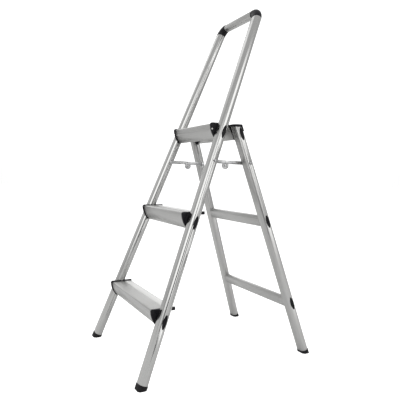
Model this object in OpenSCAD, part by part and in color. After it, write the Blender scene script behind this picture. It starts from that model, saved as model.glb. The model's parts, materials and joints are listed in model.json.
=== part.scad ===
// Folding three-step stool with a hand rail, standing open.
// +Z is up, +X is to the right seen from the front, and the front faces -Y.
// The origin is on the floor, midway between the front and rear feet.

/* [Overall] */
// Height of the top step's standing face
top_step_h = 790; // [760:1:820]
// Height of the lower step's standing face
lower_step_h = 214; // [205:1:225]
// Height of the top of the hand rail
rail_h = 1198; // [1150:1:1250]
// Distance between the front and rear stile axes at the floor
base_depth = 616; // [600:1:630]
// Half the spacing of the front stile axes at the floor
front_half = 238; // [234:1:244]
// Half the spacing of the rear stile axes at the floor
rear_half = 227; // [224:1:232]
// Half the spacing of all four stile axes at the top step
top_half = 157.5; // [155:0.5:160]
// Backward lean of the front stiles
front_lean = 21.4; // [20:0.1:22]
// Forward lean of the rear stiles
rear_lean = 18.2; // [17:0.1:19]

/* [Stiles] */
// Width of the oval stile tube
stile_w = 41.5; // [38:0.5:43]
// Depth of the oval stile tube
stile_d = 28.5; // [24:0.5:30]
// Wall of every tube
wall = 1.6; // [1.2:0.1:2]
// In-plane width of the hand rail tube
rail_w = 29; // [27:0.5:32]
// Inner bend radius of the hand rail corners
corner_r = 14; // [10:1:18]

/* [Steps] */
// Reach of a step's nosing ahead of the stile axis
nose = 37; // [34:0.5:40]
// Reach of the lower two steps behind the stile axis
step_rear = 37; // [34:0.5:39]
// Reach of the top step behind the stile axis
top_rear = 64; // [60:0.5:66]
// Height of the curved front apron
apron_drop = 51; // [46:0.5:53]
// Radius of the curved front apron
apron_r = 72; // [65:1:85]
// Height of the rear apron of the lower two steps
rear_drop = 8; // [6:1:12]
// Height of the rear apron of the top step
top_rear_drop = 49; // [44:1:51]
// Thickness of the step's skin
skin = 2; // [1.6:0.1:2.6]
// Pitch of the grip ribs on the front half of the standing face
rib_pitch = 4; // [3:0.5:6]
// Depth of the grooves between the ribs
rib_depth = 0.8; // [0.5:0.1:1]
// Reach of the ribs behind the stile axis
rib_rear = 6; // [0:1:20]
// Gap from a stile's axis to the outer face of a step cap
cap_inset = 13.5; // [12:0.5:15]
// Thickness of a step cap
cap_t = 7.5; // [7:0.5:8]
// How far the cap's rim stands proud of the step
cap_rim = 3; // [2:0.5:4]
// Depth of the cap's band below the standing face
cap_band = 7; // [6:0.5:9]
// Reach of the top cap's band behind the stile axis
top_cap_rear = 20.5; // [18:0.5:22]
// Thickness of the top cap's lobe that carries the fold pivot
lobe_t = 5; // [4:0.5:6]

/* [Rear frame] */
// Height of the upper rear brace
upper_brace_h = 466; // [462:1:470]
// Height of the lower rear brace
lower_brace_h = 181; // [176:1:186]
// Width of the oval brace tube
brace_w = 40; // [36:0.5:42]
// Depth of the oval brace tube
brace_d = 22; // [18:0.5:24]
// Height of the fold pivot at the top of the rear stiles
pivot_h = 760; // [756:1:762]
// Distance of the rear stiles' level-cut tops below the top step's face
rear_top_gap = 8.5; // [7:0.5:10]
// Thickness of the caps on the rear stiles' tops
rear_cap_t = 7; // [5:0.5:8]
// How far those caps stand proud of the stile
rear_cap_grow = 3; // [1.5:0.5:4]
// Rounding of those caps at their rear edge
rear_cap_r = 8; // [5:0.5:10]
// Length of those caps' skirts down the rear of the stile
skirt_l = 13; // [8:1:16]
// Width of the spacers between the rear stiles and the top cap's lobes
spacer_w = 18; // [14:0.5:22]
// Length of those spacers
spacer_l = 38; // [30:1:40]

/* [Spreaders] */
// Height of the spreader rivet on the front stiles
front_rivet_h = 667; // [660:1:669]
// Height of the spreader rivet on the rear stiles
rear_rivet_h = 663; // [658:1:667]
// How far the knee rivet hangs below the bars
knee_drop = 11.5; // [9:0.5:13]
// Height of the spreader strip
strip_w = 12; // [10:0.5:13]
// Thickness of the spreader strip
strip_t = 2; // [1.5:0.1:2.2]
// Radius of the knee disc
knee_r = 12; // [10:0.5:13]

/* [Feet, plugs and fasteners] */
// Height of a front foot's collar on the stile axis
front_foot_h = 11.5; // [10:0.5:14]
// Height of a rear foot's collar on the stile axis
rear_foot_h = 11; // [9:0.5:14]
// Height of the stiles' square-cut ends on their axis
sole = 7.5; // [7:0.5:9]
// Chamfer of a foot at the floor
foot_chamfer = 1.5; // [1:0.5:3]
// Length of a foot's spigot inside its stile
foot_spigot = 18; // [12:1:25]
// How far a foot stands proud of its stile
foot_grow = 1; // [0.8:0.1:2.5]
// Length of the oval plugs in the stiles' outer sides
plug_l = 43; // [38:0.5:46]
// Width of the oval plugs
plug_w = 13; // [12:0.5:16]
// Distance of each plug below its step
plug_below = 30; // [26:0.5:32]
// Shank diameter of the step bolts and brace bolts
bolt_d = 8; // [6:0.5:8]
// Shank diameter of the pivot bolts
pivot_d = 6; // [5:0.5:6]
// Width across the flats of the pivot nuts
nut_w = 10; // [8:0.5:10]
// Diameter of the bolt heads
head_d = 13; // [11:0.5:14]
// Thickness of the bolt heads and nuts
head_t = 5; // [4:0.5:6]
// Shank diameter of the spreader rivets
rivet_d = 6; // [5:0.5:7]

/* [Hidden] */
$fn = 64;

silver = "silver";
black = "#232226";
zinc = "#b9bcc0";

fit = 0.06;                 // running clearance on a radius
play = 0.3;                 // clearance between faces that slide past each other
bore_gap = 0.4;             // extra diameter of a bore for a fixed bolt
strip_gap = 1.7;            // from a stile's round side to the strip beside it
rivet_stand = 0.7;          // from a leaning stile's round side to a level rivet head
head_gap = 4.6;             // from a stile's round inner side to a bolt head inside the tube
reach = 400;                // beyond every side of the stool
full_len = 900;             // longer than a rear stile
scoop = 4;                  // how far a part reaches past a stile's round side before it is scooped out
nosing_r = 4;               // rounding of a step's upper front edge
first_rib = 6;              // from the nosing to the first groove
boss_grow = 5;              // extra diameter of a step's bolt boss
notch_low = 21;             // bottom of the notch in a top cap, below the standing face
notch_tall = 5;
notch_deep = 5;
notch_wide = 3.5;           // across X, from the cap's outer face
notch_skin = 3;             // from the nosing to the hole behind the notch
rivet_head = 12;            // diameter of the spreader rivets' heads
dome_h = 2.6;               // height of the rivets' domed heads
stop_d = 5;                 // bore for a fold stop
stop_head = 9;              // diameter of a fold stop's head
step_bolt_l = 50;           // from a stile's axis to the tip of a step bolt
brace_bolt_l = 42;          // from a stile's axis to the tip of a brace bolt
insert_l = 22;              // length of a brace insert inside its brace
thread_end = 2;             // thread beyond a pivot nut
middle_step_h = (lower_step_h + top_step_h) / 2;
step_heights = [lower_step_h, middle_step_h, top_step_h];

// Axis of the right-hand stiles at height z
function front_x(z) = front_half - (front_half - top_half) * z / top_step_h;
function front_y(z) = z * tan(front_lean) - base_depth / 2;
function rear_x(z) = rear_half - (rear_half - top_half) * z / top_step_h;
function rear_y(z) = base_depth / 2 - z * tan(rear_lean);

front_taper = atan((front_half - top_half) / top_step_h * cos(front_lean));
rear_taper = atan((rear_half - top_half) / top_step_h * cos(rear_lean));

// Hand rail corners, in the plane of the front stiles: t runs up that plane from the floor
rail_t = (rail_h - rail_w / 2 * cos(front_lean) - stile_d / 2 * (1 - cos(front_lean))) / cos(front_lean);
bend_t = rail_t - rail_w / 2 - corner_r;
stile_end_t = bend_t + (corner_r + stile_w / 2) * sin(front_taper);
bend_x = front_half - stile_end_t * tan(front_taper) - (corner_r + stile_w / 2) * cos(front_taper);
front_len = stile_end_t / cos(front_taper);
rear_top_h = top_step_h - rear_top_gap;
lobe_x = cap_x(top_step_h) - cap_t;  // where the steps' ends meet the top caps
stop_h = rear_rivet_h - 32;          // height of the fold stops on the rear stiles
pivot_plug_h = pivot_h - 3;          // keeps the top plug clear of the cap above it

// Spreader knee, below the line between the two rivets of a side
rivet_span = rear_y(rear_rivet_h) - front_y(front_rivet_h);
knee_y = front_y(front_rivet_h) + rivet_span / 2;
knee_z = (front_rivet_h + rear_rivet_h) / 2 - knee_drop;
// Outer faces of the cranked strips: beside the stile, and at the knee
front_strip_x = front_x(front_rivet_h) - stile_w / 2 - strip_gap;
rear_strip_x = rear_x(rear_rivet_h) - stile_w / 2 - strip_gap;
knee_x = top_half - 15.6;
rear_knee_x = knee_x - strip_t - play;

// ---------- placing ----------

// Mirrors a right-hand piece to the left
module left() mirror([1, 0, 0]) children();

// One copy on each side
module both() {
    children();
    left() children();
}

// Local Z runs up the right front stile, from its axis at height z
module on_front(z) {
    translate([front_x(z), front_y(z), z])
        rotate([-front_lean, 0, 0])
            rotate([0, -front_taper, 0]) children();
}

// Local Z runs up the right rear stile, from its axis at height z
module on_rear(z) {
    translate([rear_x(z), rear_y(z), z])
        rotate([rear_lean, 0, 0])
            rotate([0, -rear_taper, 0]) children();
}

// Extrudes a side outline, drawn in (y, z), across X from x0 to x1
module across(x0, x1) translate([x0, 0, 0]) rotate([90, 0, 90]) linear_extrude(x1 - x0) children();

// Round bar along X at (y, z)
module pin(x0, x1, y, z, d) translate([x0, y, z]) rotate([0, 90, 0]) cylinder(h = x1 - x0, d = d);

// A level slab that keeps what lies between two heights
module level(z0, z1) translate([-reach, -reach, z0]) cube([2 * reach, 2 * reach, z1 - z0]);

// ---------- shared shapes ----------

// Oval outline, long in X
module oval(length, width) {
    square([length - width, width], center = true);
    for (s = [-1, 1]) translate([s * (length - width) / 2, 0]) circle(d = width);
}

module oval_bar(length, width, h) linear_extrude(h) oval(length, width);

// A stretch of a stile, with running clearance, longer than any part that sits around it
module long_stile() {
    span = 300;
    translate([0, 0, -span / 2]) oval_bar(stile_w + 2 * fit, stile_d + 2 * fit, span);
}

module oval_tube(length, width, h) {
    linear_extrude(h) difference() {
        oval(length, width);
        oval(length - 2 * wall, width - 2 * wall);
    }
}

// Domed rivet head on the plane x = 0, rising towards +X
module dome(d, h) {
    r = (d * d / 4 + h * h) / (2 * h);
    intersection() {
        translate([h - r, 0, 0]) rotate([0, 90, 0]) sphere(r = r);
        rotate([0, 90, 0]) cylinder(h = 2 * h, d = d + 2);
    }
}

// ---------- front frame ----------

// Outline of a plug: two shallow arcs with rounded ends
module plug_outline(length, width) {
    tip = length + 7;
    r = (tip * tip + width * width) / (4 * width);
    intersection() {
        oval(length, width);
        translate([0, width / 2 - r]) circle(r = r, $fn = 128);
        translate([0, r - width / 2]) circle(r = r, $fn = 128);
    }
}

// Slot in a stile's outer side, for a plug centred on the local origin
module plug_slot() {
    rotate([0, 90, 0]) linear_extrude(stile_w) plug_outline(plug_l + 2 * fit, plug_w + 2 * fit);
}

module front_stile() {
    color(silver) difference() {
        on_front(sole) oval_tube(stile_w, stile_d, front_len - sole / cos(front_lean) / cos(front_taper));
        for (h = step_heights) {
            on_front(h - plug_below) plug_slot();
            pin(0, front_x(h), front_y(h - plug_below), h - plug_below, bolt_d + bore_gap);
        }
        pin(0, reach, front_y(front_rivet_h), front_rivet_h, rivet_d + 2 * fit);
    }
}

module handle_bar() {
    color(silver) translate([0, -base_depth / 2, 0]) rotate([-front_lean, 0, 0])
        translate([-bend_x, 0, rail_t]) rotate([0, 90, 0]) oval_tube(rail_w, stile_d, 2 * bend_x);
}

// Width of the corner's section at bend angle a, from the stile's width to the rail's
function corner_w(a) =
    stile_w + (rail_w - stile_w) * (a - front_taper) / (90 - front_taper);

// One closed ring of the corner at bend angle a, shrunk by inset and moved along the bend by shift
function corner_ring(a, inset, shift, n = 32) = [
    for (k = [0 : n - 1])
        let (
            t = (k + 0.5) * 360 / n,
            w = corner_w(a) - 2 * inset,
            d = stile_d - 2 * inset,
            r = corner_r + corner_w(a) / 2 + sign(cos(t)) * (w - d) / 2 + d / 2 * cos(t)
        )
        [bend_x + r * cos(a) - shift * sin(a), d / 2 * sin(t), bend_t + r * sin(a) + shift * cos(a)]
];

// Elbow with a spigot into the stile and one into the rail
module handle_corner() {
    n = 32;
    steps = 10;
    spigot = 24;
    inset = wall + 0.15;
    bend = [for (i = [0 : steps]) corner_ring(front_taper + (90 - front_taper) * i / steps, 0, 0, n)];
    rings = concat(
        [corner_ring(front_taper, inset, -spigot, n), corner_ring(front_taper, inset, 0, n)],
        bend,
        [corner_ring(90, inset, 0, n), corner_ring(90, inset, spigot, n)]
    );
    last = len(rings) - 1;
    sides = [
        for (i = [0 : last - 1])
            for (k = [0 : n - 1])
                [i * n + k, i * n + (k + 1) % n, (i + 1) * n + (k + 1) % n, (i + 1) * n + k]
    ];
    ends = [[for (k = [0 : n - 1]) n - 1 - k], [for (k = [0 : n - 1]) last * n + k]];
    color(black) translate([0, -base_depth / 2, 0]) rotate([-front_lean, 0, 0])
        polyhedron(points = [for (r = rings) for (p = r) p], faces = concat(sides, ends), convexity = 4);
}

// Outer outline of a step seen from the side, with its nosing rounded; z = 0 is the standing face
module step_outline(rear, drop, grow = 0) {
    round_r = nosing_r + grow;
    intersection() {
        translate([apron_r - nose, 0]) circle(r = apron_r + grow, $fn = 128);
        union() {
            translate([-nose - grow, -drop]) square([nose + rear + 2 * grow, drop + grow - round_r]);
            translate([round_r - nose - grow, -drop]) square([nose + rear + 2 * grow - round_r, drop + grow]);
            translate([round_r - nose - grow, grow - round_r]) circle(r = round_r);
        }
    }
}

// Extruded step: skin, two aprons, grip ribs and a boss for the bolts
module step_section(rear, back_drop) {
    boss_y = -plug_below * tan(front_lean);
    groove = 0.36 * rib_pitch;
    groove_shape = [
        [-groove - 1, 1], [groove + 1, 1],
        [groove - rib_depth, -rib_depth], [rib_depth - groove, -rib_depth]
    ];
    difference() {
        union() {
            difference() {
                step_outline(rear, apron_drop);
                translate([apron_r - nose, -1.4 * skin]) circle(r = apron_r - skin, $fn = 128);
            }
            intersection() {
                step_outline(rear, apron_drop);
                union() {
                    translate([-nose, -skin]) square([nose + rear, skin]);
                    translate([rear - skin, -back_drop]) square([skin, back_drop]);
                }
            }
            translate([boss_y - skin / 2, -plug_below]) square([skin, plug_below - skin / 2]);
            translate([boss_y, -plug_below]) circle(d = bolt_d + boss_grow);
        }
        translate([boss_y, -plug_below]) circle(d = bolt_d + bore_gap);
        for (y = [first_rib - nose : rib_pitch : rib_rear]) translate([y, 0]) polygon(groove_shape);
    }
}

// Outer face of the right cap of the step at height h
function cap_x(h) = front_x(h) - cap_inset;

// Side view of the notch in the front edge of a top cap's outer face
module notch() {
    edge = cap_rim + 1;
    translate([-nose - edge, -notch_low]) square([notch_deep + edge, notch_tall]);
}

// Side view of the hole that leads from the step's end to the notch, behind the cap's rim
module notch_hole() {
    translate([notch_skin - nose, -notch_low]) square([notch_deep - notch_skin, notch_tall]);
}

// The top step, with a tongue at each end that shows in its cap's notch
module top_step() {
    step(top_step_h, top_rear, top_rear_drop);
    notch_x = cap_x(top_step_h) - notch_wide;
    color(silver) both() translate([0, front_y(top_step_h), top_step_h]) {
        across(lobe_x, notch_x) notch_hole();
        across(notch_x, cap_x(top_step_h)) intersection() {
            step_outline(top_rear, apron_drop, cap_rim - 1);
            notch();
        }
    }
}

module step(h, rear, back_drop) {
    color(silver) translate([0, front_y(h), h])
        across(cap_t - cap_x(h), cap_x(h) - cap_t) step_section(rear, back_drop);
}

// Area of a cap: a band along the top and a lobe beside the stile
module cap_lobes(rear) {
    edge = cap_rim + 1;
    lobe_rear = 10;
    lobe_foot = 9 - apron_drop * tan(front_lean);
    polygon([
        [-nose - edge, edge], [rear + edge, edge], [rear + edge, -cap_band], [lobe_rear, -cap_band],
        [lobe_foot, -apron_drop], [-nose - edge, -apron_drop]
    ]);
}

// What the right front stile and the step bolt at height h take out of a cap
module cap_saddle(h) {
    on_front(h) long_stile();
    pin(0, reach, front_y(h - plug_below), h - plug_below, bolt_d + bore_gap);
}

// The part of a right-hand cap that follows the step's outline, from height h down
module cap_plate(h, rear) {
    translate([0, front_y(h), h]) across(cap_x(h) - cap_t, cap_x(h)) intersection() {
        step_outline(rear, apron_drop, cap_rim);
        cap_lobes(rear);
    }
}

// Right-hand step cap with a saddle for the stile
module step_cap(h, rear) {
    color(black) difference() {
        cap_plate(h, rear);
        cap_saddle(h);
    }
}

// Right-hand top cap: the front part carries the step, the lobe behind it carries the fold pivot
module top_step_cap() {
    h = top_step_h;
    rear = top_rear - skin;
    front = -8;
    web_z = -6.5;
    lobe_shape = [
        [front, -skin], [rear, -skin], [rear, -44], [58, -49], [54, -46],
        [51.8, -35.6], [34.7, web_z], [front, web_z]
    ];
    color(black) difference() {
        union() {
            cap_plate(h, top_cap_rear);
            translate([0, front_y(h), h]) across(lobe_x - lobe_t, lobe_x) polygon(lobe_shape);
        }
        translate([0, front_y(h), h]) {
            across(lobe_x - 1, cap_x(h) - notch_wide) notch_hole();
            across(cap_x(h) - notch_wide, cap_x(h) + 1) notch();
        }
        cap_saddle(h);
        pin(0, reach, rear_y(pivot_h), pivot_h, pivot_d + 2 * fit);
    }
}

// Side view of the space above the floor, chamfered at the floor; half is the foot's half width there
module sole_outline(half) {
    rise = 60;
    run = half - foot_chamfer;
    polygon([[-run, 0], [run, 0], [run + rise, rise], [-run - rise, rise]]);
}

// The chamfered space a foot may fill, about the stile axis at (x, y) on the floor
module sole_space(x, y, lean) {
    half_y = (stile_d / 2 + foot_grow) / cos(lean);
    translate([x, y, 0]) intersection() {
        across(-reach, reach) sole_outline(half_y);
        rotate([90, 0, 0]) linear_extrude(2 * reach, center = true) sole_outline(stile_w / 2 + foot_grow);
    }
}

// What a foot's collar may fill below its top edge
module foot_shell() {
    drop = 60;
    translate([0, 0, -drop]) oval_bar(stile_w + 2 * foot_grow, stile_d + 2 * foot_grow, drop);
}

// The end of the stile a foot sits on
module stile_end() oval_bar(stile_w + 2 * fit, stile_d + 2 * fit, 60);

// The foot's spigot inside the stile
module foot_plug()
    oval_bar(stile_w - 2 * wall - 2 * fit, stile_d - 2 * wall - 2 * fit, foot_spigot);

module front_foot() {
    color(black) {
        difference() {
            intersection() {
                on_front(front_foot_h) foot_shell();
                sole_space(front_x(0), front_y(0), front_lean);
            }
            on_front(sole) stile_end();
        }
        on_front(sole) foot_plug();
    }
}

module rear_foot() {
    color(black) {
        difference() {
            intersection() {
                on_rear(rear_foot_h) foot_shell();
                sole_space(rear_x(0), rear_y(0), rear_lean);
            }
            on_rear(sole) stile_end();
        }
        on_rear(sole) foot_plug();
    }
}

// Oval plug that follows the stile's round outer side, with a raised rim; local origin on the axis
module plug() {
    side = (stile_w - stile_d) / 2;
    depth = 12;
    proud = 1.2;
    rim = 3;
    dish = 0.5;
    color(black) difference() {
        intersection() {
            rotate([0, 90, 0]) linear_extrude(stile_w) plug_outline(plug_l, plug_w);
            translate([side, 0, -plug_l]) cylinder(h = 2 * plug_l, d = stile_d + 2 * proud);
            translate([stile_w / 2 - depth, -plug_w, -plug_l]) cube([2 * depth, 2 * plug_w, 2 * plug_l]);
        }
        difference() {
            rotate([0, 90, 0]) linear_extrude(stile_w) plug_outline(plug_l - 2 * rim - 1, plug_w - 2 * rim);
            translate([side, 0, -plug_l]) cylinder(h = 2 * plug_l, d = stile_d - 2 * dish);
        }
    }
}

module front_plugs() both() for (h = step_heights) on_front(h - plug_below) plug();

// Inner face of the head of a bolt inside a stile whose axis is at x
function head_x(x) = x - stile_w / 2 + head_gap;

// Bolt along X with its head inside the stile, reaching inwards to x1
module cross_bolt(x, y, z, x1, d) {
    color(zinc) {
        pin(x1, head_x(x) + 0.01, y, z, d);
        pin(head_x(x), head_x(x) + head_t, y, z, head_d);
    }
}

module step_bolts() {
    both() for (h = step_heights) {
        z = h - plug_below;
        cross_bolt(front_x(z), front_y(z), z, front_x(z) - step_bolt_l, bolt_d);
    }
}

// Rivet through a stile, with a domed head outside and a flat one inside the strip
module stile_rivet(x, y, z, strip_x) {
    outer = x + stile_w / 2 + rivet_stand;
    inner = strip_x - strip_t - play;
    washer = strip_gap - play - rivet_stand;
    color(zinc) {
        pin(inner, outer + 0.4, y, z, rivet_d);
        translate([outer, y, z]) dome(rivet_head, dome_h);
        pin(inner - 1.6, inner, y, z, rivet_head - 1);
        pin(strip_x + play, strip_x + play + washer, y, z, rivet_head + 1);
    }
}

module front_spreader_rivets() {
    both() stile_rivet(front_x(front_rivet_h), front_y(front_rivet_h), front_rivet_h, front_strip_x);
}

// Fold pivot: head inside the rear stile, shank through the top cap's lobe and its nut
module pivot_bolts() {
    both() cross_bolt(rear_x(pivot_h), rear_y(pivot_h), pivot_h, lobe_x - lobe_t - head_t - thread_end, pivot_d);
}

module pivot_nuts() {
    both() color(zinc) difference() {
        translate([lobe_x - lobe_t - head_t, rear_y(pivot_h), pivot_h])
            rotate([0, 90, 0]) cylinder(h = head_t, d = nut_w / cos(30), $fn = 6);
        pin(0, reach, rear_y(pivot_h), pivot_h, pivot_d);
    }
}

// ---------- rear frame ----------

module rear_stile() {
    color(silver) difference() {
        intersection() {
            on_rear(sole) oval_tube(stile_w, stile_d, full_len);
            level(0, rear_top_h);
        }
        on_rear(pivot_plug_h) plug_slot();
        pin(0, rear_x(pivot_h), rear_y(pivot_h), pivot_h, pivot_d + 2 * fit);
        for (h = [upper_brace_h, lower_brace_h]) {
            on_rear(h) plug_slot();
            pin(0, rear_x(h), rear_y(h), h, bolt_d + bore_gap);
        }
        pin(0, reach, rear_y(rear_rivet_h), rear_rivet_h, rivet_d + 2 * fit);
        pin(0, rear_x(stop_h), rear_y(stop_h), stop_h, stop_d);
    }
}

// A brace between the rear stiles, its ends scooped to sit on their round inner sides
module rear_brace(h) {
    x = rear_x(h) - stile_w / 2 + scoop;
    color(silver) difference() {
        translate([-x, rear_y(h), h]) rotate([rear_lean, 0, 0])
            rotate([0, 90, 0]) oval_tube(brace_w, brace_d, 2 * x);
        both() on_rear(h) long_stile();
    }
}

// Plastic insert in each brace end, drilled for its bolt
module brace_inserts() {
    color(black) both() for (h = [upper_brace_h, lower_brace_h]) {
        x = rear_x(h) - stile_w / 2;
        difference() {
            translate([x - insert_l, rear_y(h), h]) rotate([rear_lean, 0, 0]) rotate([0, 90, 0])
                oval_bar(brace_w - 2 * wall - 2 * fit, brace_d - 2 * wall - 2 * fit, insert_l + scoop);
            on_rear(h) long_stile();
            pin(0, reach, rear_y(h), h, bolt_d + 2 * fit);
        }
    }
}

module brace_bolts() {
    both() for (h = [upper_brace_h, lower_brace_h])
        cross_bolt(rear_x(h), rear_y(h), h, rear_x(h) - brace_bolt_l, bolt_d);
}

// Side view of the space below the rear caps' rounded rear edge
module rear_cap_outline() {
    top = rear_top_h + rear_cap_t;
    edge_y = rear_y(top - rear_cap_r) + (stile_d / 2 + rear_cap_grow) / cos(rear_lean);
    translate([edge_y - rear_cap_r, top - rear_cap_r]) circle(r = rear_cap_r);
    square([edge_y - rear_cap_r, top]);
    square([reach, top - rear_cap_r]);
}

// Lid on a rear stile's level-cut top, with a skirt behind and a spigot inside the tube
module rear_top_cap() {
    lid = [stile_w + 2 * rear_cap_grow, stile_d + 2 * rear_cap_grow];
    bore = [stile_w - 2 * wall - 2 * fit, stile_d - 2 * wall - 2 * fit];
    spigot_l = 12;
    spigot_x = 6; // clears the plug in the stile's outer side
    color(black) {
        intersection() {
            on_rear(0) oval_bar(lid[0], lid[1], full_len);
            level(rear_top_h, rear_top_h + rear_cap_t);
            across(lobe_x + play, reach) rear_cap_outline();
        }
        difference() {
            intersection() {
                on_rear(0) oval_bar(lid[0], lid[1], full_len);
                level(rear_top_h - skirt_l, rear_top_h);
                on_rear(rear_top_h) translate([-stile_w, spacer_w / 2 + play, -reach])
                    cube([2 * stile_w, stile_w, 2 * reach]);
                across(lobe_x + play, reach) rear_cap_outline();
            }
            on_rear(rear_top_h) long_stile();
        }
        intersection() {
            on_rear(0) oval_bar(bore[0], bore[1], full_len);
            level(rear_top_h - spigot_l, rear_top_h);
            on_rear(rear_top_h) translate([spigot_x - reach, -reach, -reach]) cube([reach, 2 * reach, 2 * reach]);
        }
    }
}

module rear_plugs() both() for (h = [pivot_plug_h, upper_brace_h, lower_brace_h]) on_rear(h) plug();

// Spacer between a rear stile's round side and the top cap's lobe
module pivot_spacer() {
    spacer_low = 2;
    color(black) difference() {
        intersection() {
            on_rear(pivot_h) translate([scoop - stile_w / 2, 0, -spacer_low]) rotate([0, -90, 0])
                oval_bar(spacer_l, spacer_w, 3 * scoop);
            translate([lobe_x + play, 0, 0]) cube(2 * reach);
        }
        on_rear(rear_top_h) long_stile();
        pin(0, reach, rear_y(pivot_h), pivot_h, pivot_d + 2 * fit);
    }
}

module rear_spreader_rivets() {
    both() stile_rivet(rear_x(rear_rivet_h), rear_y(rear_rivet_h), rear_rivet_h, rear_strip_x);
}

// Small domed rivets on the inner faces of the rear stiles
module fold_stops() {
    x = rear_x(stop_h) - stile_w / 2 - rivet_stand;
    shank_l = 4;
    color(zinc) both() {
        pin(x - 0.2, x + shank_l, rear_y(stop_h), stop_h, stop_d - bore_gap);
        translate([x, rear_y(stop_h), stop_h]) mirror([1, 0, 0]) dome(stop_head, dome_h);
    }
}

// ---------- spreaders ----------

// Side outline of a strip from its rivet at (ry, rz) towards the knee, with the knee disc below it
module strip_outline(ry, rz) {
    line_z = knee_z + knee_drop;
    length = abs(knee_y - ry);
    angle = atan2(line_z - rz, knee_y - ry);
    neck = 1.6 * knee_r;
    translate([ry, rz]) circle(d = strip_w + 1);
    translate([ry, rz]) rotate(angle) translate([0, -strip_w / 2]) square([length + 2, strip_w]);
    translate([knee_y, knee_z]) circle(r = knee_r);
    translate([knee_y - neck / 2, knee_z]) square([neck, knee_drop]);
}

// Plan outline (y, x) of a cranked strip of outer face x0 at the rivet and x1 at the knee
module strip_plan(ry, x0, x1) {
    back = -12;              // behind the rivet
    crank = [11, 35];        // where the crank starts and ends
    end = abs(knee_y - ry) + 16;
    scale([sign(knee_y - ry), 1]) polygon([
        [back, x0], [crank[0], x0], [crank[1], x1], [end, x1],
        [end, x1 - strip_t], [crank[1] - 1, x1 - strip_t], [crank[0] - 1, x0 - strip_t], [back, x0 - strip_t]
    ]);
}

module link(ry, rz, x0, x1) {
    color(zinc) difference() {
        intersection() {
            across(0, reach) strip_outline(ry, rz);
            translate([0, ry, 0]) linear_extrude(2 * reach) rotate(90) mirror([0, 1]) strip_plan(ry, x0, x1);
        }
        pin(0, reach, ry, rz, rivet_d + 2 * fit);
        pin(0, reach, knee_y, knee_z, rivet_d + 2 * fit);
    }
}

module front_link() link(front_y(front_rivet_h), front_rivet_h, front_strip_x, knee_x);
module rear_link() link(rear_y(rear_rivet_h), rear_rivet_h, rear_strip_x, rear_knee_x);

// Knee rivet, held in the front link, with its head towards the stile
module knee_rivet() {
    color(zinc) {
        pin(knee_x - strip_t, knee_x + 0.2, knee_y, knee_z, rivet_d);
        translate([knee_x, knee_y, knee_z]) dome(rivet_head, 2);
    }
}

// Closing head of the knee, held in the rear link on the inner side
module knee_collar() {
    x = rear_knee_x - strip_t;
    color(zinc) {
        pin(x - 0.2, rear_knee_x, knee_y, knee_z, rivet_d);
        translate([x, knee_y, knee_z]) mirror([1, 0, 0]) dome(rivet_head + 1, dome_h);
    }
}

left() front_stile();  // front_stile_left
front_stile();  // front_stile_right
handle_bar();
left() handle_corner();  // handle_corner_left
handle_corner();  // handle_corner_right
step(lower_step_h, step_rear, rear_drop);  // lower_step
step(middle_step_h, step_rear, rear_drop);  // middle_step
top_step();
left() step_cap(lower_step_h, step_rear);  // lower_step_cap_left
step_cap(lower_step_h, step_rear);  // lower_step_cap_right
left() step_cap(middle_step_h, step_rear);  // middle_step_cap_left
step_cap(middle_step_h, step_rear);  // middle_step_cap_right
left() top_step_cap();  // top_step_cap_left
top_step_cap();  // top_step_cap_right
left() front_foot();  // front_foot_left
front_foot();  // front_foot_right
front_plugs();
step_bolts();
front_spreader_rivets();
pivot_bolts();
pivot_nuts();
left() rear_stile();  // rear_stile_left
rear_stile();  // rear_stile_right
rear_brace(upper_brace_h);  // upper_rear_brace
rear_brace(lower_brace_h);  // lower_rear_brace
brace_inserts();
brace_bolts();
left() rear_foot();  // rear_foot_left
rear_foot();  // rear_foot_right
left() rear_top_cap();  // rear_top_cap_left
rear_top_cap();  // rear_top_cap_right
rear_plugs();
left() pivot_spacer();  // pivot_spacer_left
pivot_spacer();  // pivot_spacer_right
rear_spreader_rivets();
fold_stops();
left() front_link();  // front_link_left
front_link();  // front_link_right
left() knee_rivet();  // knee_rivet_left
knee_rivet();  // knee_rivet_right
left() rear_link();  // rear_link_left
rear_link();  // rear_link_right
left() knee_collar();  // knee_collar_left
knee_collar();  // knee_collar_right
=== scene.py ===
"""Folding three-step stool: materials, softened edges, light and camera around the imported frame."""
import json
import math

import bpy
from mathutils import Matrix, Vector


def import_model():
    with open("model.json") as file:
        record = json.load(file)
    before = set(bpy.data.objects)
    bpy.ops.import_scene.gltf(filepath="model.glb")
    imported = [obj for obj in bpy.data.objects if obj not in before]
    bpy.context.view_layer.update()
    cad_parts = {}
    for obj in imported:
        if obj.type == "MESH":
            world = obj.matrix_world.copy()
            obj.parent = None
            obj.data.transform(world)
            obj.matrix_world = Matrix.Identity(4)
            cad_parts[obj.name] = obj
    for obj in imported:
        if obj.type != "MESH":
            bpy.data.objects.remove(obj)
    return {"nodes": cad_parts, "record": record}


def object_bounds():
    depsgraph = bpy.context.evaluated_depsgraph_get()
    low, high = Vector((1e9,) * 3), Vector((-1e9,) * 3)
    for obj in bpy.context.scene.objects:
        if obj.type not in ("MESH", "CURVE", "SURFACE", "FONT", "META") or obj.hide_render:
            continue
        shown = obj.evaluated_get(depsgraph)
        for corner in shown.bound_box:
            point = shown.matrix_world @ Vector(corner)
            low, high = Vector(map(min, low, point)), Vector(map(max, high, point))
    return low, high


# Camera, in metres and degrees: it looks from the front right, between the upper two steps' heights
CAM_AT = (1.4367, -0.7638, 0.6259)
CAM_YAW = 61.99
CAM_PITCH = -3.63
CAM_ROLL = 0.96
CAM_FAR = 50.0
LENS_MM = 40.7
SENSOR_MM = 36.0
SHIFT = (0.00175, 0.00525)

# The record's material slots
ALUMINIUM = "anodised_aluminium"
PLASTIC = "black_plastic"
RUBBER = "foot_rubber"
ZINC = "zinc_steel"

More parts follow.
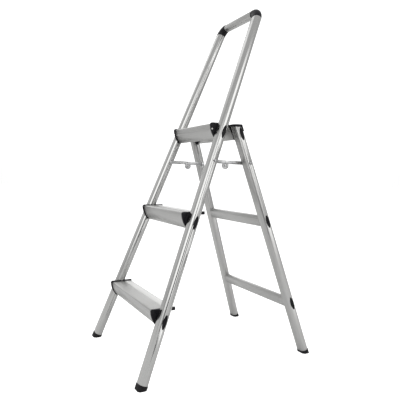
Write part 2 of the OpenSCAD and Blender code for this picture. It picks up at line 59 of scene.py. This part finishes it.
# In the materials, a scale is noise cells per metre and a bump is (strength, height in metres).
# Most of a noise's values lie in the spread; mottling uses a tighter part of it
NOISE_SPREAD = (0.30, 0.70)
MOTTLE_SPREAD = (0.35, 0.65)
WHITE = (1.0, 1.0, 1.0, 1.0)
# Where the Mix node keeps its colour sockets: factor, first and second input, and output
MIX_FACTOR, MIX_FIRST, MIX_SECOND, MIX_OUT = 0, 6, 7, 2

# Aluminium: how the front and rear stiles lean and splay, in degrees, for the lines along them
STILE_TURNS = {"front": (-21.4, 5.8), "rear": (18.2, 5.0)}
# Roughness of the anodised pieces: polished front stiles, satin rear stiles and cross pieces
STILE_ROUGH = {"front": 0.18, "rear": 0.34}
ACROSS_ROUGH = 0.36
ALUMINIUM_TONES = ((0.52, 0.52, 0.51), (0.60, 0.60, 0.592))
LINES_ALONG = 6.0
LINES_ACROSS = 900.0
LINES_ROUGH = 0.03  # roughness that the lines add or take away
LINES_BUMP = (0.03, 0.00004)
CLOUD_SCALE = 9.0
CLOUD_ROUGH = (-0.02, 0.04)
CLOUD_BUMP = (0.05, 0.0006)

# Black mouldings
PLASTIC_LOOK = {"base": (0.0045, 0.0042, 0.0062), "rough": 0.36, "grain": 1800.0}
RUBBER_LOOK = {"base": (0.005, 0.0047, 0.0055), "rough": 0.55, "grain": 900.0}
BLACK_SPECULAR = 0.22
DARK_PATCH = 0.75  # against the base colour
EDGE_HIGHLIGHT_PAINT = 2.2  # painted highlight along sharp edges, against the base colour
HIGHLIGHT_POINTINESS = (0.52, 0.60)  # where the painted edge highlight begins and where it is full
PATCH_SCALE = 35.0
PATCH_ROUGH = (-0.06, 0.08)
PATCH_BUMP = (0.1, 0.0006)
GRAIN_BUMP = (0.35, 0.00025)

# Zinc plate
ZINC_TONES = ((0.32, 0.325, 0.33), (0.64, 0.64, 0.64))
ZINC_CLOUD_SCALE = 60.0
ZINC_BUMP = (0.15, 0.0003)
SPANGLE_SCALE = 320.0
SPANGLE_REACH = 0.8  # in cells, from a spangle's centre to where it is roughest
SPANGLE_ROUGH = (0.22, 0.38)

# Rounded edges on the carried-over pieces, in metres and degrees
EDGE = {"plastic": 0.0007, "metal": 0.0003}
EDGE_ANGLE = 35.0
EDGE_SEGMENTS = 2
WELD_GAP = 0.00002

# Surround: brightness from just below the horizon to the zenith, then soft round cards as
# (azimuth, elevation, half width at full strength, half width faded out, added brightness), in degrees
ROOM_GREY = (0.46, 0.60)
ROOM_HEIGHTS = (-0.3, 1.0)  # on a sphere of radius 1
CARDS = [
    (12, 25, 20, 32, 1.20),
    (-68, 25, 20, 32, 1.20),
    (152, 17, 14, 40, 0.95),
    (-152, 8, 12, 26, 0.20),
]
# A dark panel beside the object, seen only in reflections: place, width and height in metres
PANEL_AT = (0.85, -0.48, 0.85)
PANEL_SIZE = (0.55, 1.8)
PANEL_TAPER = 0.40  # width at its top against its foot
PANEL_GLOW = 0.50  # at its top edge
PANEL_GLOW_HEIGHTS = (-0.1, 0.5)  # from its middle, as shares of its height
PANEL_TONES = ((0.01, 0.01, 0.01), (0.02, 0.02, 0.02))
PANEL_SCALE = 4.0  # cells along each side
PANEL_ROUGH = 1.0
# Soft light overhead: side in metres, place, watts; the metal doesn't mirror it
OVERHEAD = (3.0, (0.3, -0.2, 3.2), 60.0)
FLOOR_SIZE = 40.0
FLOOR_TONES = ((0.61, 0.61, 0.61), (0.63, 0.63, 0.63))
FLOOR_SCALE = 3.0
FLOOR_ROUGH = 0.9
FLOOR_GLOW = 0.80  # keeps the floor white where the camera sees it


# ---------- camera ----------

def aim_camera():
    """Sets the scene's camera, with its roll, from the values above."""
    yaw, pitch, roll = (math.radians(a) for a in (CAM_YAW, CAM_PITCH, CAM_ROLL))
    ahead = Vector((-math.sin(yaw) * math.cos(pitch), math.cos(yaw) * math.cos(pitch), math.sin(pitch)))
    level = Vector((math.cos(yaw), math.sin(yaw), 0.0))
    above = level.cross(ahead)
    right = level * math.cos(roll) + above * math.sin(roll)
    up = above * math.cos(roll) - level * math.sin(roll)
    data = bpy.data.cameras.new("camera")
    data.lens = LENS_MM
    data.sensor_width = SENSOR_MM
    data.shift_x, data.shift_y = SHIFT
    data.clip_end = CAM_FAR
    camera = bpy.data.objects.new("camera", data)
    bpy.context.scene.collection.objects.link(camera)
    turn = Matrix((right, up, -ahead)).transposed().to_4x4()
    camera.matrix_world = Matrix.Translation(CAM_AT) @ turn
    bpy.context.scene.camera = camera


# ---------- material helpers ----------

def new_material(name):
    """A node material, with its tree and its Principled shader."""
    material = bpy.data.materials.new(name)
    material.use_nodes = True
    tree = material.node_tree
    return material, tree, tree.nodes["Principled BSDF"]


def add(tree, kind, **values):
    """Adds a node; values set its inputs when the key names a socket, or else its properties."""
    node = tree.nodes.new(kind)
    for key, value in values.items():
        if key in node.inputs:
            node.inputs[key].default_value = value
        else:
            setattr(node, key, value)
    return node


def place(tree, scale=(1.0, 1.0, 1.0), turn=(0.0, 0.0, 0.0)):
    """Object-space coordinates turned back by turn, in degrees, and then multiplied by scale."""
    where = add(tree, "ShaderNodeTexCoord")
    mapping = add(
        tree, "ShaderNodeMapping", vector_type="TEXTURE",
        Scale=tuple(1.0 / s for s in scale), Rotation=tuple(math.radians(a) for a in turn))
    tree.links.new(where.outputs["Object"], mapping.inputs["Vector"])
    return mapping.outputs["Vector"]


def noise(tree, vector, scale, detail=4.0, rough=0.55):
    """Value of a noise texture."""
    node = add(tree, "ShaderNodeTexNoise", Scale=scale, Detail=detail, Roughness=rough)
    tree.links.new(vector, node.inputs["Vector"])
    return node.outputs["Fac"]


def span(tree, value, low, high, start=0.0, end=1.0):
    """Maps value from start..end to low..high, clamped."""
    limits = {"From Min": start, "From Max": end, "To Min": low, "To Max": high}
    node = add(tree, "ShaderNodeMapRange", **limits)
    tree.links.new(value, node.inputs["Value"])
    return node.outputs["Result"]


def math_node(tree, operation, first, second):
    """Result of a Math node on two sockets."""
    node = add(tree, "ShaderNodeMath", operation=operation)
    for socket, value in zip(node.inputs, (first, second)):
        tree.links.new(value, socket)
    return node.outputs[0]


def blend_colour(tree, factor, first, second):
    """Mixes two colours, or colour sockets, by factor."""
    node = add(tree, "ShaderNodeMix", data_type="RGBA")
    for socket, value in ((node.inputs[MIX_FIRST], first), (node.inputs[MIX_SECOND], second)):
        if isinstance(value, tuple):
            socket.default_value = (*value, 1.0)
        else:
            tree.links.new(value, socket)
    tree.links.new(factor, node.inputs[MIX_FACTOR])
    return node.outputs[MIX_OUT]


def add_bump(tree, shader, heights):
    """Chains bumps, each (value socket, strength, height in metres), into the shader's normal."""
    normal = None
    for value, strength, height in heights:
        node = add(tree, "ShaderNodeBump", Strength=strength, Distance=height)
        tree.links.new(value, node.inputs["Height"])
        if normal is not None:
            tree.links.new(normal, node.inputs["Normal"])
        normal = node.outputs["Normal"]
    tree.links.new(normal, shader.inputs["Normal"])


# ---------- materials ----------

def aluminium(name, rough, lines_scale, turn=(0.0, 0.0, 0.0)):
    """Satin anodised extrusion; lines_scale and turn make the die lines run along the part."""
    material, tree, shader = new_material(name)
    lines = noise(tree, place(tree, lines_scale, turn), 1.0, detail=6.0, rough=0.65)
    cloud = noise(tree, place(tree), CLOUD_SCALE, detail=3.0)
    tone = span(tree, lines, 0.0, 1.0, *NOISE_SPREAD)
    tree.links.new(blend_colour(tree, tone, *ALUMINIUM_TONES), shader.inputs["Base Color"])
    shader.inputs["Metallic"].default_value = 1.0
    fine = span(tree, lines, rough - LINES_ROUGH, rough + LINES_ROUGH, *NOISE_SPREAD)
    patches = span(tree, cloud, *CLOUD_ROUGH, *NOISE_SPREAD)
    tree.links.new(math_node(tree, "ADD", fine, patches), shader.inputs["Roughness"])
    add_bump(tree, shader, [(lines, *LINES_BUMP), (cloud, *CLOUD_BUMP)])
    return material


def moulding(name, base, rough, grain):
    """Moulded black plastic or rubber with a fine texture and painted highlights on its sharp edges."""
    material, tree, shader = new_material(name)
    fine = noise(tree, place(tree), grain, detail=3.0)
    patches = noise(tree, place(tree), PATCH_SCALE, detail=4.0)
    dark, painted_highlight = (tuple(share * c for c in base) for share in (DARK_PATCH, EDGE_HIGHLIGHT_PAINT))
    mottled = blend_colour(tree, span(tree, patches, 0.0, 1.0, *MOTTLE_SPREAD), dark, base)
    # Sharp edges get a lighter colour: a painted highlight, not wear.
    edge = add(tree, "ShaderNodeNewGeometry").outputs["Pointiness"]
    highlight_share = span(tree, edge, 0.0, 1.0, *HIGHLIGHT_POINTINESS)
    tree.links.new(blend_colour(tree, highlight_share, mottled, painted_highlight), shader.inputs["Base Color"])
    smooth, rougher = (rough + change for change in PATCH_ROUGH)
    tree.links.new(span(tree, patches, smooth, rougher, *NOISE_SPREAD), shader.inputs["Roughness"])
    shader.inputs["Specular IOR Level"].default_value = BLACK_SPECULAR
    add_bump(tree, shader, [(fine, *GRAIN_BUMP), (patches, *PATCH_BUMP)])
    return material


def zinc(name):
    """Bright zinc plate with a spangled, slightly milky surface."""
    material, tree, shader = new_material(name)
    spangle = add(tree, "ShaderNodeTexVoronoi", Scale=SPANGLE_SCALE)
    tree.links.new(place(tree), spangle.inputs["Vector"])
    cloud = noise(tree, place(tree), ZINC_CLOUD_SCALE)
    tone = span(tree, cloud, 0.0, 1.0, *NOISE_SPREAD)
    tree.links.new(blend_colour(tree, tone, *ZINC_TONES), shader.inputs["Base Color"])
    shader.inputs["Metallic"].default_value = 1.0
    rough = span(tree, spangle.outputs["Distance"], *SPANGLE_ROUGH, 0.0, SPANGLE_REACH)
    tree.links.new(rough, shader.inputs["Roughness"])
    add_bump(tree, shader, [(cloud, *ZINC_BUMP)])
    return material


def matte(name, tones, scale, rough):
    """A mottled matte material that can glow white; the caller links its Emission Strength."""
    material, tree, shader = new_material(name)
    mottle = noise(tree, place(tree), scale)
    tree.links.new(blend_colour(tree, mottle, *tones), shader.inputs["Base Color"])
    shader.inputs["Roughness"].default_value = rough
    shader.inputs["Specular IOR Level"].default_value = 0.0
    shader.inputs["Emission Color"].default_value = WHITE
    return material, tree, shader


def dress(frame):
    """Gives every CAD node its material, by the record's slots and the way its die lines run."""
    along_x = (LINES_ALONG, LINES_ACROSS, LINES_ACROSS)
    along_z = (LINES_ACROSS, LINES_ACROSS, LINES_ALONG)
    across = aluminium("aluminium_across", ACROSS_ROUGH, along_x)
    stiles = {
        f"{end}_stile_{side}": aluminium(
            f"aluminium_{end}_{side}", STILE_ROUGH[end], along_z, (lean, splay * way, 0.0))
        for end, (lean, splay) in STILE_TURNS.items()
        for side, way in (("right", -1), ("left", 1))
    }
    finishes = {
        PLASTIC: moulding("black_plastic", **PLASTIC_LOOK),
        RUBBER: moulding("foot_rubber", **RUBBER_LOOK),
        ZINC: zinc("zinc_plate"),
    }
    slots = {part["node"]: part["material_slot"] for part in frame["record"]["subparts"]}
    for name, node in frame["nodes"].items():
        slot = slots[name]
        material = stiles.get(name, across) if slot == ALUMINIUM else finishes[slot]
        node.data.materials.clear()
        node.data.materials.append(material)
        soften(node, EDGE["metal"] if slot in (ALUMINIUM, ZINC) else EDGE["plastic"])


def soften(node, width):
    """Rounds a node's sharp edges with modifiers and shades its curved faces smoothly."""
    weld = node.modifiers.new("weld", "WELD")
    weld.merge_threshold = WELD_GAP
    bevel = node.modifiers.new("edges", "BEVEL")
    bevel.width = width
    bevel.segments = EDGE_SEGMENTS
    bevel.limit_method = "ANGLE"
    bevel.angle_limit = math.radians(EDGE_ANGLE)
    bevel.harden_normals = True
    node.data.shade_smooth()


# ---------- studio ----------

def white_floor(height):
    """A pale floor that glows only where the camera sees it."""
    bpy.ops.mesh.primitive_plane_add(size=FLOOR_SIZE, location=(0.0, 0.0, height))
    floor = bpy.context.object
    floor.name = "studio_floor"
    material, tree, shader = matte("studio_white", FLOOR_TONES, FLOOR_SCALE, FLOOR_ROUGH)
    seen = add(tree, "ShaderNodeLightPath").outputs["Is Camera Ray"]
    tree.links.new(span(tree, seen, 0.0, FLOOR_GLOW), shader.inputs["Emission Strength"])
    floor.data.materials.append(material)


def surround():
    """A grey room with bright cards round it, and plain white where the camera looks past."""
    world = bpy.data.worlds.new("surround")
    world.use_nodes = True
    bpy.context.scene.world = world
    tree = world.node_tree
    where = add(tree, "ShaderNodeTexCoord")
    split = add(tree, "ShaderNodeSeparateXYZ")
    tree.links.new(where.outputs["Generated"], split.inputs[0])
    total = span(tree, split.outputs["Z"], *ROOM_GREY, *ROOM_HEIGHTS)
    for azimuth, elevation, inner, outer, amount in CARDS:
        round_z, up = math.radians(azimuth), math.radians(elevation)
        towards = add(tree, "ShaderNodeVectorMath", operation="DOT_PRODUCT")
        towards.inputs[1].default_value = (
            math.cos(up) * math.cos(round_z), math.cos(up) * math.sin(round_z), math.sin(up))
        tree.links.new(where.outputs["Generated"], towards.inputs[0])
        edge = (math.cos(math.radians(outer)), math.cos(math.radians(inner)))
        total = math_node(tree, "ADD", total, span(tree, towards.outputs["Value"], 0.0, amount, *edge))
    seen = add(tree, "ShaderNodeLightPath").outputs["Is Camera Ray"]
    total = math_node(tree, "MAXIMUM", total, seen)
    tree.links.new(total, tree.nodes["Background"].inputs["Strength"])
    tree.nodes["Background"].inputs["Color"].default_value = WHITE


def overhead_light(towards):
    """A square soft light above the object."""
    side, at, power = OVERHEAD
    data = bpy.data.lights.new("overhead", "AREA")
    data.size = side
    data.energy = power
    lamp = bpy.data.objects.new("overhead", data)
    bpy.context.scene.collection.objects.link(lamp)
    lamp.location = at
    lamp.rotation_euler = (towards - Vector(at)).to_track_quat("-Z", "Y").to_euler()
    lamp.visible_glossy = False


def dark_panel(towards):
    """The dark panel that the tubes mirror as a thin line, narrower and brighter at its top."""
    width, height = PANEL_SIZE
    bpy.ops.mesh.primitive_plane_add(size=1.0, location=PANEL_AT)
    panel = bpy.context.object
    panel.name = "dark_panel"
    panel.scale = (width, height, 1.0)
    for corner in panel.data.vertices:
        if corner.co.y > 0.0:
            corner.co.x *= PANEL_TAPER
    away = towards - Vector(PANEL_AT)
    panel.rotation_euler = (math.pi / 2, 0.0, math.atan2(away.y, away.x) + math.pi / 2)
    panel.visible_camera = False
    panel.visible_diffuse = False
    panel.visible_shadow = False
    material, tree, shader = matte("panel_black", PANEL_TONES, PANEL_SCALE, PANEL_ROUGH)
    rise = add(tree, "ShaderNodeSeparateXYZ")
    tree.links.new(place(tree), rise.inputs[0])
    glow = span(tree, rise.outputs["Y"], 0.0, PANEL_GLOW, *PANEL_GLOW_HEIGHTS)
    tree.links.new(glow, shader.inputs["Emission Strength"])
    panel.data.materials.append(material)


def studio(low, high):
    """A white floor, the surround, the soft light and the dark panel."""
    white_floor(low.z)
    surround()
    bpy.context.scene.view_settings.view_transform = "Standard"
    middle = (low + high) / 2
    overhead_light(middle)
    dark_panel(middle)


def main():
    """Builds the scene around the imported frame's box."""
    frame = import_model()
    low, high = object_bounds()
    aim_camera()
    dress(frame)
    studio(low, high)


main()
